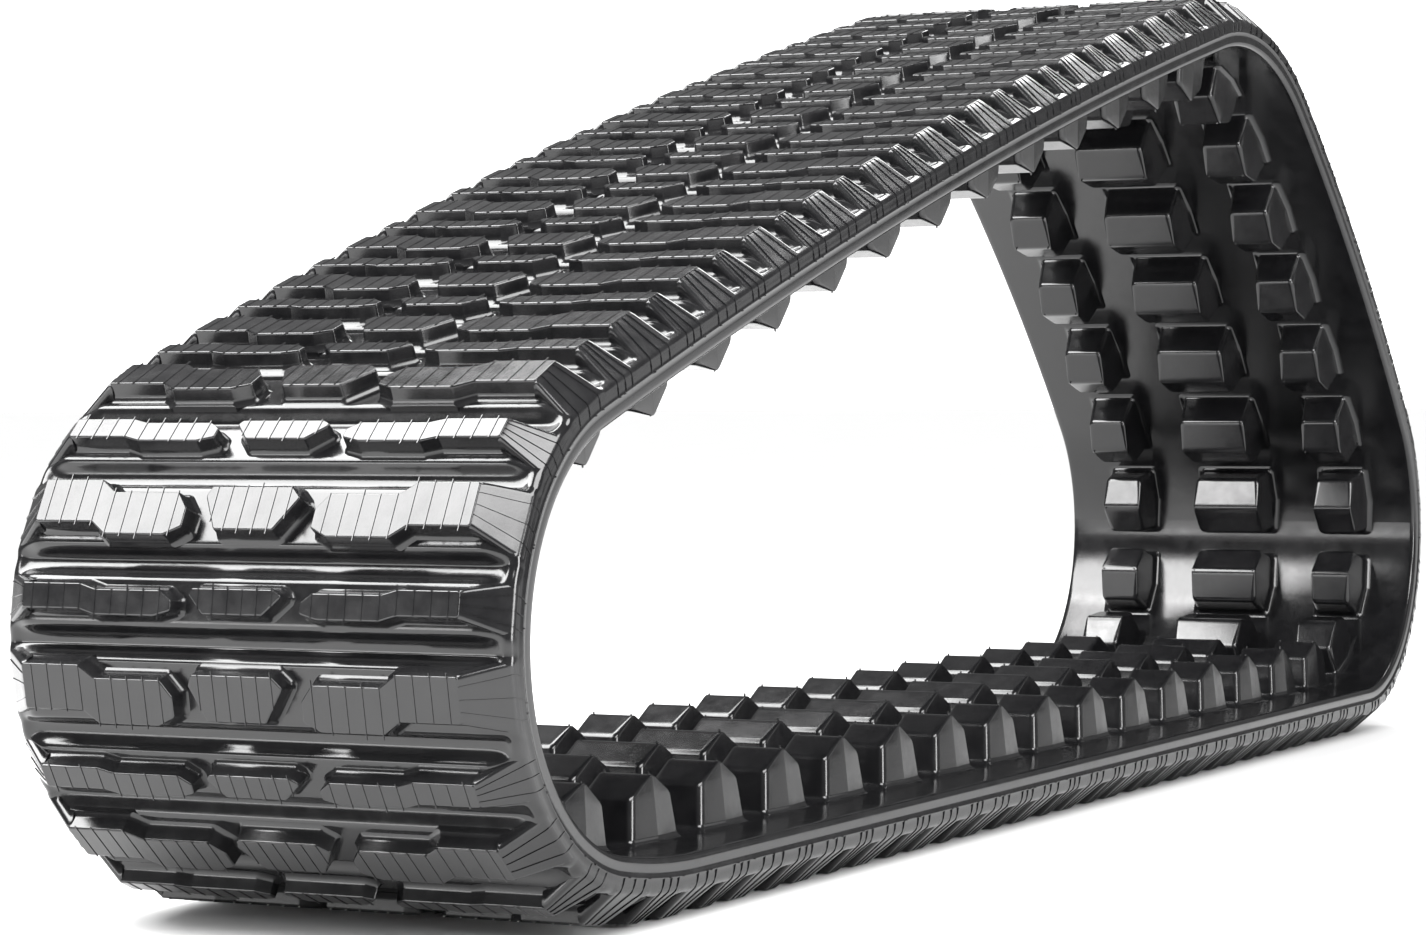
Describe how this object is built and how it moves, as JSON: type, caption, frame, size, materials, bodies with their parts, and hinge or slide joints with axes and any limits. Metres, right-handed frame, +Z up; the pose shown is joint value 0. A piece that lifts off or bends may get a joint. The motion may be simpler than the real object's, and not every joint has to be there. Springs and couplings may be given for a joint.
{
  "type": "rubber track",
  "caption": "Endless rubber track: block tread outside, rows of drive lugs inside, steel cable and ply carcass between, flexing as a free-standing loop.",
  "frame": {"origin": "on the ground, under the middle of the loop's length and width", "axes": "+X along the bottom run from the front bend to the rear bend, +Y across the belt, +Z up"},
  "size_m": [1.9354, 0.381, 0.7067],
  "materials": {
    "cover_rubber": "satin moulded rubber",
    "tread_rubber": "glossy new moulded rubber",
    "lug_rubber": "glossy new moulded rubber",
    "gum_rubber": "matt",
    "ply_fabric": "rubberised cord fabric",
    "steel_cable": "brassed stranded wire"
  },
  "bodies": {
    "bottom_run": {"bottom_run_inner_cover": "cover_rubber", "bottom_run_bias_plies": "ply_fabric", "bottom_run_cord_gum": "gum_rubber", "bottom_run_cables": "steel_cable", "bottom_run_outer_cover": "cover_rubber", "bottom_run_tread_bars": "tread_rubber", "bottom_run_side_lugs": "lug_rubber", "bottom_run_centre_lugs": "lug_rubber"},
    "rear_bend": {"rear_bend_inner_cover": "cover_rubber", "rear_bend_bias_plies": "ply_fabric", "rear_bend_cord_gum": "gum_rubber", "rear_bend_cables": "steel_cable", "rear_bend_outer_cover": "cover_rubber", "rear_bend_tread_bars": "tread_rubber", "rear_bend_side_lugs": "lug_rubber", "rear_bend_centre_lugs": "lug_rubber"},
    "rear_run": {"rear_run_inner_cover": "cover_rubber", "rear_run_bias_plies": "ply_fabric", "rear_run_cord_gum": "gum_rubber", "rear_run_cables": "steel_cable", "rear_run_outer_cover": "cover_rubber", "rear_run_tread_bars": "tread_rubber", "rear_run_side_lugs": "lug_rubber", "rear_run_centre_lugs": "lug_rubber"},
    "apex": {"apex_inner_cover": "cover_rubber", "apex_bias_plies": "ply_fabric", "apex_cord_gum": "gum_rubber", "apex_cables": "steel_cable", "apex_outer_cover": "cover_rubber", "apex_tread_bars": "tread_rubber", "apex_side_lugs": "lug_rubber", "apex_centre_lugs": "lug_rubber"},
    "top_rear": {"top_rear_inner_cover": "cover_rubber", "top_rear_bias_plies": "ply_fabric", "top_rear_cord_gum": "gum_rubber", "top_rear_cables": "steel_cable", "top_rear_outer_cover": "cover_rubber", "top_rear_tread_bars": "tread_rubber", "top_rear_side_lugs": "lug_rubber", "top_rear_centre_lugs": "lug_rubber"},
    "top_front": {"top_front_inner_cover": "cover_rubber", "top_front_bias_plies": "ply_fabric", "top_front_cord_gum": "gum_rubber", "top_front_cables": "steel_cable", "top_front_outer_cover": "cover_rubber", "top_front_tread_bars": "tread_rubber", "top_front_side_lugs": "lug_rubber", "top_front_centre_lugs": "lug_rubber"},
    "front_bend": {"front_bend_inner_cover": "cover_rubber", "front_bend_bias_plies": "ply_fabric", "front_bend_cord_gum": "gum_rubber", "front_bend_cables": "steel_cable", "front_bend_outer_cover": "cover_rubber", "front_bend_tread_bars": "tread_rubber", "front_bend_side_lugs": "lug_rubber", "front_bend_centre_lugs": "lug_rubber"}
  },
  "joints": [
    {"name": "heel_flex", "type": "hinge", "parent": "bottom_run", "child": "rear_bend", "pos_m": [0.8077, 0, 0.0382], "axis": [0, -1, 0], "range_deg": [-4, 4], "stiffness_Nm_per_rad": 30000},
    {"name": "rear_low_flex", "type": "hinge", "parent": "rear_bend", "child": "rear_run", "pos_m": [0.8503, 0, 0.3592], "axis": [0, -1, 0], "range_deg": [-4.4, 4.4], "stiffness_Nm_per_rad": 30000},
    {"name": "rear_high_flex", "type": "hinge", "parent": "rear_run", "child": "apex", "pos_m": [0.4545, 0, 0.6678], "axis": [0, -1, 0], "range_deg": [-1.6, 1.6], "stiffness_Nm_per_rad": 30000},
    {"name": "crown_flex", "type": "hinge", "parent": "apex", "child": "top_rear", "pos_m": [0.1552, 0, 0.6247], "axis": [0, -1, 0], "range_deg": [-3, 3], "stiffness_Nm_per_rad": 30000},
    {"name": "toe_flex", "type": "hinge", "parent": "bottom_run", "child": "front_bend", "pos_m": [-0.6143, 0, 0.033], "axis": [0, -1, 0], "range_deg": [-3, 3], "stiffness_Nm_per_rad": 30000},
    {"name": "brow_flex", "type": "hinge", "parent": "front_bend", "child": "top_front", "pos_m": [-0.9031, 0, 0.2875], "axis": [0, -1, 0], "range_deg": [-1.1, 1.1], "stiffness_Nm_per_rad": 30000}
  ],
  "couplings": [
    {"joint": "rear_low_flex", "follows": "heel_flex", "ratio": -1.0684},
    {"joint": "toe_flex", "follows": "heel_flex", "ratio": 0.7222},
    {"joint": "rear_high_flex", "follows": "crown_flex", "ratio": -0.4887},
    {"joint": "brow_flex", "follows": "crown_flex", "ratio": -0.3299}
  ]
}
